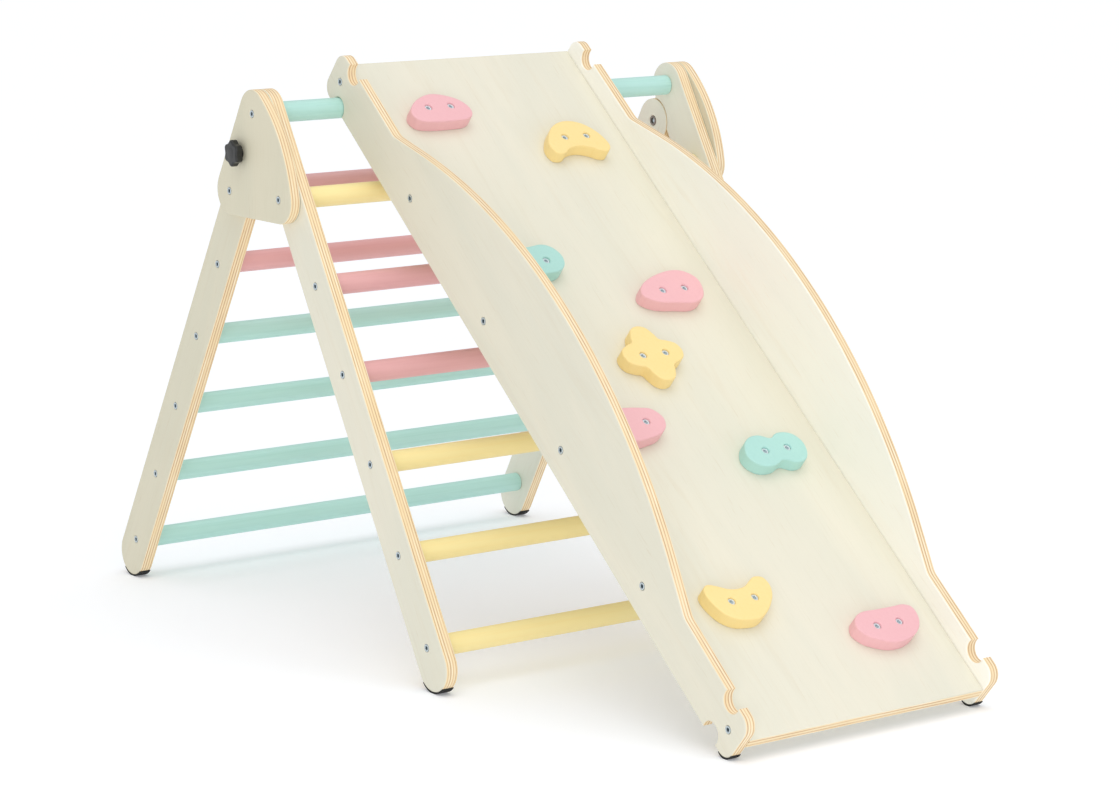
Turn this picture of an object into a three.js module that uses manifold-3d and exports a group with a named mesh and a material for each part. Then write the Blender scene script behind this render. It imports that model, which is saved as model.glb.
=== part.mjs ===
// Toddler climbing triangle with a hook-on ramp: two plywood ladders that fold about a pivot,
// and a plywood ramp with a smooth deck, wave-edged side walls and screwed-on climbing holds.
//
// Millimetres, +Z up. +X points down the ramp, Y runs along the rungs.
import * as THREE from 'three';
import { mergeVertices } from 'three/addons/utils/BufferGeometryUtils.js';
import Module from 'manifold-3d';

// ---- ladders ----
const RUNG_SPACING = 125; // along a rail, and each side of the gusset's triangle
const LADDER_LEAN = THREE.MathUtils.degToRad(30.5); // of each ladder from the vertical
const LADDER_WIDTH = 690; // over the rails' outer faces
const RAIL_THICKNESS = 18;
const RAIL_RADIUS = 32; // half the rail's width, and the radius of its round ends
const RAIL_RUN = 776; // from the top rung's axis to the centre of a rail's round foot
const RUNG_RADIUS = 14;
const LOWEST_RUNG = 6; // counted in spacings from the top rung
const GAP = 0.3; // between pieces that touch
const ROD_SEGMENTS = 16;
const BORE_SEGMENTS = 8; // of screws and the holes that clear them

// ---- hinge gussets, knobs and fasteners ----
const GUSSET_THICKNESS = 15;
const GUSSET_CORNER = 32;
const GUSSET_BULGE = 209; // radius of the gusset's curved front side
const LOCK_RADIUS = RUNG_SPACING / 2; // from the pivot to the lock stud
const NEST_CLEARANCE = 1.6; // between a front rail and the rear rail's round top
const STUD_RADIUS = 4;
const INSERT_RADIUS = 7;
const KNOB_RADIUS = 16.3;
const KNOB_LOBE = 1.5;
const KNOB_LOBES = 6;
const KNOB_HEIGHT = 10;
const KNOB_EDGE = 2;
const HUB_RADIUS = 10;
const HUB_HEIGHT = 5;
const SHANK_RADIUS = 2.7;
const HEAD_RADIUS = 5.2;
const HEAD_HEIGHT = 3;
const PILOT_DEPTH = 40; // how far a screw reaches into a rung
const PAD_THICKNESS = 2; // of a rubber pad at its middle
const PAD_TAPER = 5; // its outer face is drawn about a centre this much nearer the floor
const PAD_HALF_ANGLE = THREE.MathUtils.degToRad(42);
const SOLE_HALF_ANGLE = THREE.MathUtils.degToRad(9); // of the pad's flat, which rests on the floor

// ---- ramp: s runs down the slope from the top end, n is the deck's upward normal ----
const RAMP_LENGTH = 1140;
const RAMP_WIDTH = 400;
const RAMP_OFFSET = -27; // of the ramp's centre line along the rung
const WALL_THICKNESS = 15;
const WALL_HALF_HEIGHT = 35;
const WALL_CORNER = 18;
const NOTCH_RADIUS = RUNG_RADIUS + 0.8;
const NOTCH_FROM_END = 42.5;
const NOTCH_DEPTH = 31; // from the wall's middle line to a notch's centre
const WAVE_START = 164;
const WAVE_SLOPE = THREE.MathUtils.degToRad(24);
const WAVE_RADIUS = 860;
const DECK_THICKNESS = 15; // its middle plane and the wall screws lie on the walls' middle line
const WALL_SCREWS = 6;
const WALL_SCREW_FROM_END = 24.5;

// ---- climbing holds ----
const HOLD_HEIGHT = 18;
const HOLD_SCREW_PITCH = 36;
const HOLD_COLUMN = 92; // from the ramp's centre line
const HOLD_SCREW_SEAT = 9; // the bottom of the head's recess, below the hold's top
const HOLD_SIDES = 32;

const HALF_WIDTH = LADDER_WIDTH / 2;
const RUNG_LENGTH = LADDER_WIDTH - 2 * RAIL_THICKNESS - 2 * GAP;
const APEX_HEIGHT = RAIL_RUN * Math.cos(LADDER_LEAN) + soleReach(RAIL_RADIUS);

const wasm = await Module();
wasm.setup();

// ---- materials ----
const paint = (color, roughness = 0.55) => new THREE.MeshStandardMaterial({ color, roughness, metalness: 0 });
const PLYWOOD = paint(0xece5d3, 0.6);
const TURQUOISE = paint(0x9fd6c8);
const PINK = paint(0xf2b4b4);
const YELLOW = paint(0xfde394);
const BLACK = paint(0x2c2d2b, 0.4);
const RUBBER = paint(0x1c1c1c, 0.9);
const ZINC = new THREE.MeshStandardMaterial({ color: 0xb9bdc0, roughness: 0.35, metalness: 1 });

// ---- booleans ----
function toManifold(geometry) {
  const bare = geometry.clone();
  bare.deleteAttribute('normal');
  bare.deleteAttribute('uv');
  const merged = mergeVertices(bare, 1e-4);
  return new wasm.Manifold(new wasm.Mesh({
    numProp: 3,
    vertProperties: new Float32Array(merged.attributes.position.array),
    triVerts: new Uint32Array(merged.index.array),
  }));
}

function toGeometry(manifold) {
  const mesh = manifold.getMesh();
  const indexed = new THREE.BufferGeometry();
  indexed.setAttribute('position', new THREE.BufferAttribute(mesh.vertProperties, mesh.numProp));
  indexed.setIndex(new THREE.BufferAttribute(mesh.triVerts, 1));
  const geometry = indexed.toNonIndexed();
  geometry.computeVertexNormals();
  return geometry;
}

function cut(geometry, cutters) {
  const solid = cutters.reduce((rest, cutter) => rest.subtract(toManifold(cutter)), toManifold(geometry));
  return toGeometry(solid);
}

// ---- shapes shared by several pieces ----
// A flat piece: its outline is drawn in X and Z, and it reaches from y = low to low + thickness.
function plate(outline, thickness, low) {
  const options = { depth: thickness, bevelEnabled: false, curveSegments: 8 };
  const geometry = new THREE.ExtrudeGeometry(outline, options);
  return geometry.rotateX(Math.PI / 2).translate(0, low + thickness, 0);
}

// A turned piece about the Y axis: its profile is a list of [radius, y].
function turned(profile, segments = ROD_SEGMENTS) {
  return new THREE.LatheGeometry(profile.map(([radius, y]) => new THREE.Vector2(radius, y)), segments);
}

// A screw along +Y, with the top of its head at y = 0.
function screw(length) {
  return turned([[0, 0], [HEAD_RADIUS, 0], [HEAD_RADIUS, HEAD_HEIGHT], [SHANK_RADIUS, HEAD_HEIGHT],
    [SHANK_RADIUS, length - 3], [0, length]], BORE_SEGMENTS);
}

// The hole that clears such a screw, open at both ends.
function screwHole(length) {
  const shank = SHANK_RADIUS + GAP;
  const head = HEAD_RADIUS + GAP;
  return turned([[0, -1], [head, -1], [head, HEAD_HEIGHT + GAP], [shank, HEAD_HEIGHT + GAP],
    [shank, length], [0, length]], BORE_SEGMENTS);
}

function railHole(radius, segments) {
  return turned([[0, -1], [radius, -1], [radius, RAIL_THICKNESS + 1], [0, RAIL_THICKNESS + 1]], segments);
}

// A rung with a pilot hole in each end.
function rungGeometry() {
  const half = RUNG_LENGTH / 2;
  const bore = SHANK_RADIUS + GAP;
  const bottom = half - PILOT_DEPTH - 1;
  return turned([[0, -bottom], [bore, -bottom], [bore, -half], [RUNG_RADIUS, -half],
    [RUNG_RADIUS, half], [bore, half], [bore, bottom], [0, bottom]]);
}

// A glued-on rubber strip round the end of a plate, thinning from its middle to its ends. Its middle
// is at the angle that points to the floor.
function padGeometry(radius, down, thickness, low) {
  const inner = radius + GAP;
  const outer = inner + PAD_THICKNESS - PAD_TAPER;
  const spread = PAD_HALF_ANGLE + Math.asin((PAD_TAPER * Math.sin(PAD_HALF_ANGLE)) / outer);
  const x = PAD_TAPER * Math.cos(down);
  const y = PAD_TAPER * Math.sin(down);
  const outline = new THREE.Shape();
  outline.absarc(x, y, outer, down - spread, down - SOLE_HALF_ANGLE, false);
  outline.absarc(x, y, outer, down + SOLE_HALF_ANGLE, down + spread, false);
  outline.absarc(0, 0, inner, down + PAD_HALF_ANGLE, down - PAD_HALF_ANGLE, true);
  return plate(outline, thickness, low);
}

// From the centre of a plate's round end to the floor under its pad.
function soleReach(radius) {
  return PAD_TAPER + (radius + GAP + PAD_THICKNESS - PAD_TAPER) * Math.cos(SOLE_HALF_ANGLE);
}

function addMesh(parent, name, geometry, material, x = 0, y = 0, z = 0) {
  const mesh = new THREE.Mesh(geometry, material);
  mesh.name = name;
  mesh.position.set(x, y, z);
  parent.add(mesh);
  return mesh;
}

// Left pieces are drawn with their outer face towards -Y, and right ones are their mirror image.
function mirrored(geometry) {
  const copy = geometry.index ? geometry.toNonIndexed() : geometry.clone();
  const position = copy.attributes.position;
  for (let i = 0; i < position.count; i += 3) {
    const corners = [0, 2, 1].map((k) => new THREE.Vector3().fromBufferAttribute(position, i + k));
    corners.forEach((corner, k) => position.setXYZ(i + k, corner.x, -corner.y, corner.z));
  }
  copy.computeVertexNormals();
  return copy;
}

function addPair(parent, name, geometry, material, x = 0, z = 0) {
  addMesh(parent, `${name}_left`, geometry, material, x, 0, z);
  addMesh(parent, `${name}_right`, mirrored(geometry), material, x, 0, z);
}

// ---- ladders: each is drawn hanging straight down from the top rung's axis ----
function railOutline(top) {
  const outline = new THREE.Shape();
  outline.absarc(0, -RAIL_RUN, RAIL_RADIUS, Math.PI, 2 * Math.PI, false);
  outline.absarc(0, top, RAIL_RADIUS, 0, Math.PI, false);
  return outline;
}

// The front rail is hollowed so that the rear rail's round top nests behind it.
function frontRail() {
  const nestRadius = RAIL_RADIUS + NEST_CLEARANCE;
  const nest = railHole(nestRadius, 64);
  const lockX = -LOCK_RADIUS * Math.sin(2 * LADDER_LEAN);
  const lockZ = -LOCK_RADIUS * Math.cos(2 * LADDER_LEAN);
  const holes = [nest.translate(lockX, 0, lockZ)];
  for (let step = 0; step <= LOWEST_RUNG; step += 1) {
    const hole = step < 2 ? railHole(SHANK_RADIUS + GAP, BORE_SEGMENTS) : screwHole(RAIL_THICKNESS + 1);
    holes.push(hole.translate(0, 0, -step * RUNG_SPACING));
  }
  return cut(plate(railOutline(0), RAIL_THICKNESS, 0), holes).translate(0, -HALF_WIDTH, 0);
}

function rearRail() {
  const holes = [railHole(INSERT_RADIUS + GAP, ROD_SEGMENTS).translate(0, 0, -LOCK_RADIUS)];
  for (let step = 1; step <= LOWEST_RUNG; step += 1) {
    const hole = step < 2 ? railHole(SHANK_RADIUS + GAP, BORE_SEGMENTS) : screwHole(RAIL_THICKNESS + 1);
    holes.push(hole.translate(0, 0, -step * RUNG_SPACING));
  }
  return cut(plate(railOutline(-LOCK_RADIUS), RAIL_THICKNESS, 0), holes).translate(0, -HALF_WIDTH, 0);
}

function addLadder(name, lean, rail, firstRung, colors) {
  const ladder = new THREE.Group();
  ladder.position.z = APEX_HEIGHT;
  ladder.rotation.y = -lean;
  addPair(ladder, `${name}_rail`, rail, PLYWOOD);
  for (let step = firstRung; step <= LOWEST_RUNG; step += 1) {
    const rungName = step === 0 ? 'top_rung' : `${name}_rung_${step}`;
    addMesh(ladder, rungName, rungGeometry(), colors[step - firstRung], 0, 0, -step * RUNG_SPACING);
  }
  const pad = padGeometry(RAIL_RADIUS, -Math.PI / 2 - lean, RAIL_THICKNESS, -HALF_WIDTH);
  addPair(ladder, `${name}_foot`, pad, RUBBER, 0, -RAIL_RUN);
  return ladder;
}

const frontLadder = addLadder('front', LADDER_LEAN, frontRail(), 0,
  [TURQUOISE, YELLOW, PINK, PINK, YELLOW, YELLOW, YELLOW]);
const rearLadder = addLadder('rear', -LADDER_LEAN, rearRail(), 1,
  [PINK, PINK, TURQUOISE, TURQUOISE, TURQUOISE, TURQUOISE]);

for (let step = 2; step <= LOWEST_RUNG; step += 1) {
  const fastener = screw(RAIL_THICKNESS + PILOT_DEPTH).translate(0, -HALF_WIDTH, 0);
  addPair(frontLadder, `front_rung_${step}_screw`, fastener, ZINC, 0, -step * RUNG_SPACING);
}

// ---- gussets: a rounded triangle over the top rung, the first front rung and the pivot ----
const apex = new THREE.Vector2(0, 0);
const downRail = new THREE.Vector2(Math.sin(LADDER_LEAN), -Math.cos(LADDER_LEAN));
const frontCorner = downRail.clone().multiplyScalar(RUNG_SPACING);
const pivot = new THREE.Vector2(-frontCorner.x, frontCorner.y);
const lock = pivot.clone().multiplyScalar(LOCK_RADIUS / RUNG_SPACING);

// The lock slot is an arc about the pivot. It runs from the lock stud out through the rear side,
// so that the rear ladder folds once its knobs are loose.
function gussetOutline() {
  const slotHalf = STUD_RADIUS + GAP;
  const upRail = Math.PI / 2 - LADDER_LEAN;
  const outward = upRail + Math.PI / 2;
  const middle = frontCorner.clone().multiplyScalar(0.5);
  const reach = Math.sqrt((GUSSET_BULGE - GUSSET_CORNER) ** 2 - (RUNG_SPACING / 2) ** 2);
  const bulge = new THREE.Vector2(downRail.y, -downRail.x).multiplyScalar(reach).add(middle);
  const startAngle = frontCorner.clone().sub(bulge).angle() - 2 * Math.PI;
  const endAngle = apex.clone().sub(bulge).angle();
  const outer = LOCK_RADIUS + slotHalf;
  const inner = LOCK_RADIUS - slotHalf;

  const outline = new THREE.Shape();
  outline.absarc(pivot.x, pivot.y, GUSSET_CORNER, outward, 1.5 * Math.PI, false);
  outline.absarc(frontCorner.x, frontCorner.y, GUSSET_CORNER, -Math.PI / 2, startAngle, false);
  outline.absarc(bulge.x, bulge.y, GUSSET_BULGE, startAngle, endAngle, false);
  outline.absarc(apex.x, apex.y, GUSSET_CORNER, endAngle, outward, false);
  outline.absarc(pivot.x, pivot.y, outer, upRail + Math.asin(GUSSET_CORNER / outer), upRail, true);
  outline.absarc(lock.x, lock.y, slotHalf, upRail, upRail - Math.PI, true);
  outline.absarc(pivot.x, pivot.y, inner, upRail, upRail + Math.asin(GUSSET_CORNER / inner), false);
  return outline;
}

function gussetGeometry() {
  const hole = screwHole(GUSSET_THICKNESS + 1);
  const holes = [apex, frontCorner, pivot].map(({ x, y }) => hole.clone().translate(x, 0, y));
  return cut(plate(gussetOutline(), GUSSET_THICKNESS, 0), holes);
}

const GUSSET_FACE = -HALF_WIDTH - GAP - GUSSET_THICKNESS; // outer face of the left gusset

const head = new THREE.Group();
head.position.z = APEX_HEIGHT;
addPair(head, 'gusset', gussetGeometry().translate(0, GUSSET_FACE, 0), PLYWOOD);

const gussetScrew = screw(GUSSET_THICKNESS + RAIL_THICKNESS + PILOT_DEPTH).translate(0, GUSSET_FACE, 0);
addPair(head, 'top_rung_screw', gussetScrew, ZINC, apex.x, apex.y);
addPair(head, 'front_rung_1_screw', gussetScrew, ZINC, frontCorner.x, frontCorner.y);
addPair(head, 'pivot_screw', gussetScrew, ZINC, pivot.x, pivot.y);

// ---- lock knobs ----
function knobGeometry() {
  const outline = new THREE.Shape();
  const points = 36;
  for (let i = 0; i < points; i += 1) {
    const angle = (2 * Math.PI * i) / points;
    const radius = KNOB_RADIUS - KNOB_EDGE + KNOB_LOBE * Math.cos(KNOB_LOBES * angle);
    outline[i === 0 ? 'moveTo' : 'lineTo'](radius * Math.cos(angle), radius * Math.sin(angle));
  }
  const star = new THREE.ExtrudeGeometry(outline, {
    depth: KNOB_HEIGHT - 2 * KNOB_EDGE,
    bevelThickness: KNOB_EDGE,
    bevelSize: KNOB_EDGE,
    bevelSegments: 1,
  });
  star.rotateX(Math.PI / 2).translate(0, -HUB_HEIGHT - KNOB_EDGE, 0);
  const hub = turned([[0, -HUB_HEIGHT - 2], [HUB_RADIUS, -HUB_HEIGHT - 2], [HUB_RADIUS - 1, 0], [0, 0]]);
  const bore = STUD_RADIUS + GAP;
  const deep = -HUB_HEIGHT - 6;
  const socket = turned([[0, deep], [bore, deep], [bore, 1], [0, 1]]);
  return toGeometry(toManifold(star).add(toManifold(hub)).subtract(toManifold(socket)));
}

const STUD_IN_KNOB = HUB_HEIGHT + 5;
const knob = knobGeometry().translate(0, GUSSET_FACE - GAP, 0);
const stud = turned([[0, -STUD_IN_KNOB], [STUD_RADIUS, -STUD_IN_KNOB],
  [STUD_RADIUS, GUSSET_THICKNESS + RAIL_THICKNESS - 1], [0, GUSSET_THICKNESS + RAIL_THICKNESS - 1]])
  .translate(0, GUSSET_FACE - GAP, 0);
const insert = turned([[STUD_RADIUS + GAP, 0], [INSERT_RADIUS, 0], [INSERT_RADIUS, RAIL_THICKNESS],
  [STUD_RADIUS + GAP, RAIL_THICKNESS], [STUD_RADIUS + GAP, 0]]).translate(0, -HALF_WIDTH, 0);
addPair(head, 'knob', knob, BLACK, lock.x, lock.y);
addPair(head, 'knob_stud', stud, ZINC, lock.x, lock.y);
addPair(head, 'insert', insert, ZINC, lock.x, lock.y);

// ---- ramp ----
// The walls' two ends are the same half turned round, so a wall can hook on either way up.
function wallOutline() {
  const lip = Math.sqrt(NOTCH_RADIUS ** 2 - (WALL_HALF_HEIGHT - NOTCH_DEPTH) ** 2);
  const lipAngle = Math.asin((WALL_HALF_HEIGHT - NOTCH_DEPTH) / NOTCH_RADIUS);
  const middle = RAMP_LENGTH / 2;
  const crest = WALL_HALF_HEIGHT + WAVE_RADIUS * (1 - Math.cos(WAVE_SLOPE))
    + (middle - WAVE_START - WAVE_RADIUS * Math.sin(WAVE_SLOPE)) * Math.tan(WAVE_SLOPE);
  const near = WALL_CORNER;
  const far = RAMP_LENGTH - WALL_CORNER;
  const rise = WALL_HALF_HEIGHT - WALL_CORNER;
  const farNotch = RAMP_LENGTH - NOTCH_FROM_END;

  const outline = new THREE.Shape();
  outline.moveTo(NOTCH_FROM_END + lip, -WALL_HALF_HEIGHT);
  outline.absarc(farNotch, -NOTCH_DEPTH, NOTCH_RADIUS, Math.PI + lipAngle, -lipAngle, true);
  outline.absarc(far, -rise, WALL_CORNER, -Math.PI / 2, 0, false);
  outline.absarc(far, rise, WALL_CORNER, 0, Math.PI / 2, false);
  outline.absarc(farNotch, NOTCH_DEPTH, NOTCH_RADIUS, lipAngle, -Math.PI - lipAngle, true);
  outline.lineTo(RAMP_LENGTH - WAVE_START, WALL_HALF_HEIGHT);
  outline.absarc(middle, crest - WAVE_RADIUS, WAVE_RADIUS,
    Math.PI / 2 - WAVE_SLOPE, Math.PI / 2 + WAVE_SLOPE, false);
  outline.lineTo(WAVE_START, WALL_HALF_HEIGHT);
  outline.absarc(NOTCH_FROM_END, NOTCH_DEPTH, NOTCH_RADIUS, lipAngle, -Math.PI - lipAngle, true);
  outline.absarc(near, rise, WALL_CORNER, Math.PI / 2, Math.PI, false);
  outline.absarc(near, -rise, WALL_CORNER, Math.PI, 1.5 * Math.PI, false);
  outline.absarc(NOTCH_FROM_END, -NOTCH_DEPTH, NOTCH_RADIUS, Math.PI + lipAngle, -lipAngle, true);
  return outline;
}

function wallGeometry() {
  const pitch = (RAMP_LENGTH - 2 * WALL_SCREW_FROM_END) / (WALL_SCREWS - 1);
  const holes = [];
  for (let i = 0; i < WALL_SCREWS; i += 1) {
    holes.push(screwHole(WALL_THICKNESS + 1).translate(WALL_SCREW_FROM_END + i * pitch, 0, 0));
  }
  return cut(plate(wallOutline(), WALL_THICKNESS, 0), holes).translate(0, -RAMP_WIDTH / 2, 0);
}

// Climbing holds. Outline points are [across to the right, up the slope] from the hold's centre,
// and a smooth closed curve runs through them.
function flowerOutline() {
  const points = [];
  const count = 24;
  for (let i = 0; i < count; i += 1) {
    const angle = (2 * Math.PI * i) / count;
    const radius = 40 + 8 * Math.cos(4 * angle) - Math.cos(8 * angle);
    points.push([radius * Math.cos(angle) - 2, radius * Math.sin(angle) + 1]);
  }
  return points;
}

const HOLD_OUTLINES = {
  teardrop: [[-50, -9], [-40, 7], [-22, 19], [-3, 24], [19, 19], [36, 9], [45, -6], [43, -19], [32, -26],
    [10, -28], [-30, -27], [-45, -22]],
  hook: [[-51, -12], [-37, 13], [-23, 24], [-7, 29], [8, 28], [22, 22], [35, 9], [43, -7], [45, -23],
    [37, -32], [26, -31], [14, -24], [-5, -19], [-22, -22], [-35, -30], [-47, -28]],
  pebble: [[-47, -4], [-36, 11], [-14, 22], [8, 26], [25, 27], [38, 20], [45, 4], [41, -11], [28, -21],
    [8, -23], [-24, -22], [-41, -16]],
  stone: [[-55, -3], [-47, 11], [-31, 21], [-8, 29], [15, 32], [32, 28], [46, 14], [46, -3], [38, -19],
    [20, -27], [-9, -24], [-34, -20], [-49, -12]],
  flower: flowerOutline(),
  wedge: [[-48, 0], [-42, 18], [-26, 27], [-5, 26], [18, 23], [36, 18], [46, 2], [42, -12], [29, -22],
    [8, -27], [-16, -29], [-38, -22]],
  peanut: [[-51, -2], [-43, 15], [-30, 24], [-15, 25], [1, 18], [13, 24], [27, 24], [39, 18], [46, 4],
    [43, -13], [33, -24], [18, -26], [1, -19], [-16, -25], [-35, -24], [-47, -15]],
  crescent: [[-50, 14], [-47, 25], [-39, 29], [-27, 25], [-13, 18], [0, 16], [13, 18], [23, 24], [33, 29],
    [45, 26], [49, 14], [45, 0], [36, -12], [24, -23], [8, -31], [-9, -31], [-26, -27], [-41, -14]],
  bean: [[-50, 3], [-44, 16], [-30, 23], [-3, 23], [22, 23], [38, 23], [49, 17], [50, 2], [42, -13],
    [30, -22], [12, -28], [-9, -28], [-28, -21], [-43, -11]],
};

const HOLDS = [
  ['hold_pink_teardrop', 'teardrop', PINK, 106, -HOLD_COLUMN],
  ['hold_yellow_hook', 'hook', YELLOW, 179, HOLD_COLUMN],
  ['hold_turquoise_pebble', 'pebble', TURQUOISE, 392, -HOLD_COLUMN],
  ['hold_pink_stone', 'stone', PINK, 464, HOLD_COLUMN],
  ['hold_yellow_flower', 'flower', YELLOW, 567, 0],
  ['hold_pink_wedge', 'wedge', PINK, 672, -HOLD_COLUMN],
  ['hold_turquoise_peanut', 'peanut', TURQUOISE, 744, HOLD_COLUMN],
  ['hold_yellow_crescent', 'crescent', YELLOW, 957, -HOLD_COLUMN],
  ['hold_pink_bean', 'bean', PINK, 1030, HOLD_COLUMN],
];

// Drawn lying on z = 0, with +X down the slope.
function holdGeometry(outlineName) {
  const corners = HOLD_OUTLINES[outlineName].map(([across, up]) => new THREE.Vector3(-up, across, 0));
  const curve = new THREE.CatmullRomCurve3(corners, true, 'centripetal');
  const points = curve.getSpacedPoints(HOLD_SIDES).slice(0, -1);
  const outline = new THREE.Shape(points.map(({ x, y }) => new THREE.Vector2(x, y)));
  const body = new THREE.ExtrudeGeometry(outline, { depth: HOLD_HEIGHT, bevelEnabled: false });
  const seat = HOLD_HEIGHT - HOLD_SCREW_SEAT;
  const shank = SHANK_RADIUS + GAP;
  const holes = [-1, 1].map((side) => turned([[0, -1], [shank, -1], [shank, seat], [HEAD_RADIUS + GAP, seat],
    [HEAD_RADIUS + GAP, HOLD_HEIGHT + 1], [0, HOLD_HEIGHT + 1]], BORE_SEGMENTS)
    .rotateX(Math.PI / 2).translate(0, (side * HOLD_SCREW_PITCH) / 2, 0));
  return cut(body, holes);
}

// The ramp hangs on the top rung by its lower top notches and stands on the toes of its walls.
const toeRun = RAMP_LENGTH - WALL_CORNER - NOTCH_FROM_END;
const toeRise = NOTCH_DEPTH - WALL_HALF_HEIGHT + WALL_CORNER;
const drop = APEX_HEIGHT - soleReach(WALL_CORNER);
const RAMP_ANGLE = Math.asin(drop / Math.hypot(toeRun, toeRise)) + Math.atan2(toeRise, toeRun);

const rampHook = new THREE.Group();
rampHook.position.set(0, RAMP_OFFSET, APEX_HEIGHT);
rampHook.rotation.y = RAMP_ANGLE;
const ramp = new THREE.Group();
ramp.position.set(-NOTCH_FROM_END, 0, NOTCH_DEPTH);
rampHook.add(ramp);

addPair(ramp, 'ramp_wall', wallGeometry(), PLYWOOD);
const deckWidth = RAMP_WIDTH - 2 * (WALL_THICKNESS + GAP);
const deck = new THREE.BoxGeometry(RAMP_LENGTH, deckWidth, DECK_THICKNESS);
addMesh(ramp, 'ramp_deck', deck, PLYWOOD, RAMP_LENGTH / 2);
const rampPad = padGeometry(WALL_CORNER, RAMP_ANGLE - Math.PI / 2, WALL_THICKNESS, -RAMP_WIDTH / 2);
addPair(ramp, 'ramp_foot', rampPad, RUBBER, RAMP_LENGTH - WALL_CORNER, WALL_CORNER - WALL_HALF_HEIGHT);
const deckTop = DECK_THICKNESS / 2 + GAP;
for (const [name, outlineName, material, s, across] of HOLDS) {
  addMesh(ramp, name, holdGeometry(outlineName), material, s, across, deckTop);
}

// ---- the whole object stands on z = 0, with its box centred on the origin ----
const slide = new THREE.Group();
slide.name = 'toddler_slide';
slide.add(frontLadder, rearLadder, head, rampHook);
slide.updateMatrixWorld(true);
const box = new THREE.Box3().setFromObject(slide, true);
slide.position.set(-(box.min.x + box.max.x) / 2, -(box.min.y + box.max.y) / 2, -box.min.z);

export default slide;
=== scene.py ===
"""The looks of a toddler climbing triangle and its hook-on ramp: plywood boards with rounded, striped
edges, painted dowels, painted climbing holds, zinc screws, black lock knobs and rubber feet.

Lengths are in millimetres; each mesh is scaled to metres as it is made. Every flat board has its own
frame, with local X along its grain, local Z through its thickness and the origin at its middle plane.
"""
import math

import bpy
from mathutils import Matrix, Vector
from mathutils.geometry import tessellate_polygon


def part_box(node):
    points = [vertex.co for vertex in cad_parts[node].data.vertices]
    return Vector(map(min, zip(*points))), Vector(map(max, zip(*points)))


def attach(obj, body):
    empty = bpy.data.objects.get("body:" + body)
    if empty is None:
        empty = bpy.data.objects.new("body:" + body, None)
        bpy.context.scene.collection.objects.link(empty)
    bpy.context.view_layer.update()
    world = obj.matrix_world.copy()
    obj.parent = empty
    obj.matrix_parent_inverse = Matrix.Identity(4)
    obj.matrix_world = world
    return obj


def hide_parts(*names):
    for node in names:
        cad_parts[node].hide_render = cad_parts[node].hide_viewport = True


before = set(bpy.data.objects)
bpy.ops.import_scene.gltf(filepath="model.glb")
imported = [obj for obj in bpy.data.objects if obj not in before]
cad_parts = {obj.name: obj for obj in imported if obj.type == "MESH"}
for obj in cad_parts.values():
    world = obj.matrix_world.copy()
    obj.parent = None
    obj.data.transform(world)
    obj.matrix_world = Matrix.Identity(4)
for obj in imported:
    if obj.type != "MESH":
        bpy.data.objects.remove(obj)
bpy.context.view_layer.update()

MM = 0.001

# ---- ladders, in each ladder's own frame: x down its rails from the top rung, y forwards ----
LADDER_WIDTH = 690
RAIL_THICKNESS = 18
RAIL_RADIUS = 32
RAIL_RUN = 776
RUNG_SPACING = 125
LOWEST_RUNG = 6
FIRST_FACE_SCREW = 2  # the first rung whose screws go through the rail alone
RUNG_RADIUS = 14
RUNG_EDGE = 1.2
NEST_RADIUS = 33.6
GAP = 0.3

# ---- gussets and knobs ----
GUSSET_THICKNESS = 15
GUSSET_CORNER = 32
GUSSET_BULGE = 209
LOCK_RADIUS = RUNG_SPACING / 2
STUD_RADIUS = 4
INSERT_RADIUS = 7
KNOB_RADIUS = 16.3
KNOB_LOBE = 1.5
KNOB_LOBES = 6
KNOB_HEIGHT = 10
KNOB_TOP_EDGE = 2.6
KNOB_BOTTOM_EDGE = 1.2
CAP_RADIUS = 8.2  # of the round cap in the knob's top
CAP_INNER_RADIUS = 6.5
CAP_RISE = 0.35
HUB_RADIUS = 10
HUB_HEIGHT = 5
HUB_OVERLAP = 0.5  # how far the hub runs into the knob
STUD_CHAMFER = 0.8
INSERT_CHAMFER = 0.6
STUD_SHORT_OF_RAIL = 1  # from the stud's end to the inner face of the rail

# ---- ramp, in the ramp's frame: x down the slope, y along the deck's upward normal ----
RAMP_LENGTH = 1140
WALL_THICKNESS = 15
WALL_HALF_HEIGHT = 35
WALL_CORNER = 18
NOTCH_RADIUS = 14.8
NOTCH_FROM_END = 42.5
NOTCH_DEPTH = 31
WAVE_START = 164
WAVE_SLOPE = 24
WAVE_RADIUS = 860
WAVE_EASE = 26  # radius of the soft bend where the wave starts
DECK_THICKNESS = 15
WALL_SCREWS = 6
WALL_SCREW_FROM_END = 24.5
WALL_SCREW_LENGTH = 45

# ---- holds and screws ----
HOLD_HEIGHT = 18
HOLD_SCREW_PITCH = 36
HOLD_SCREW_DEPTH = 2.6
HOLD_COLUMN = 92
HOLD_SCREW_GRIP = 8  # how far a hold's screw goes into the deck
SCREW_SEAT = 5.1  # radius of a screw's bore
SCREW_HEAD = 4.9
SCREW_SOCKET = 2.9
SOCKET_RIM = 0.6  # how far the socket's floor runs under the head
SCREW_EDGE = 0.45
SCREW_SHANK = 2.6
SCREW_TIP = 1.4
SCREW_TIP_LENGTH = 4
HEAD_HEIGHT = 3.0
SOCKET_DEPTH = 1.9
SOCKET_FLOOR = 0.5
SHANK_START = 2.8
SHANK_IN_RUNG = 40
PAD_THICKNESS = 2
PAD_TAPER = 5
PAD_HALF_ANGLE = 42
SOLE_HALF_ANGLE = 9

# ---- rounded edges ----
BOARD_ROUND = 1.6
DECK_ROUND = 1.0
HOLD_FOOT_ROUND = 0.4
PAD_CLEARANCE = 0.05  # between a pad and its board
SHARP_ANGLE = 50  # degrees between two faces, above which their shared edge isn't shaded smooth
HOLD_ROUND = 1.9
PAD_ROUND = 0.25

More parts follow.
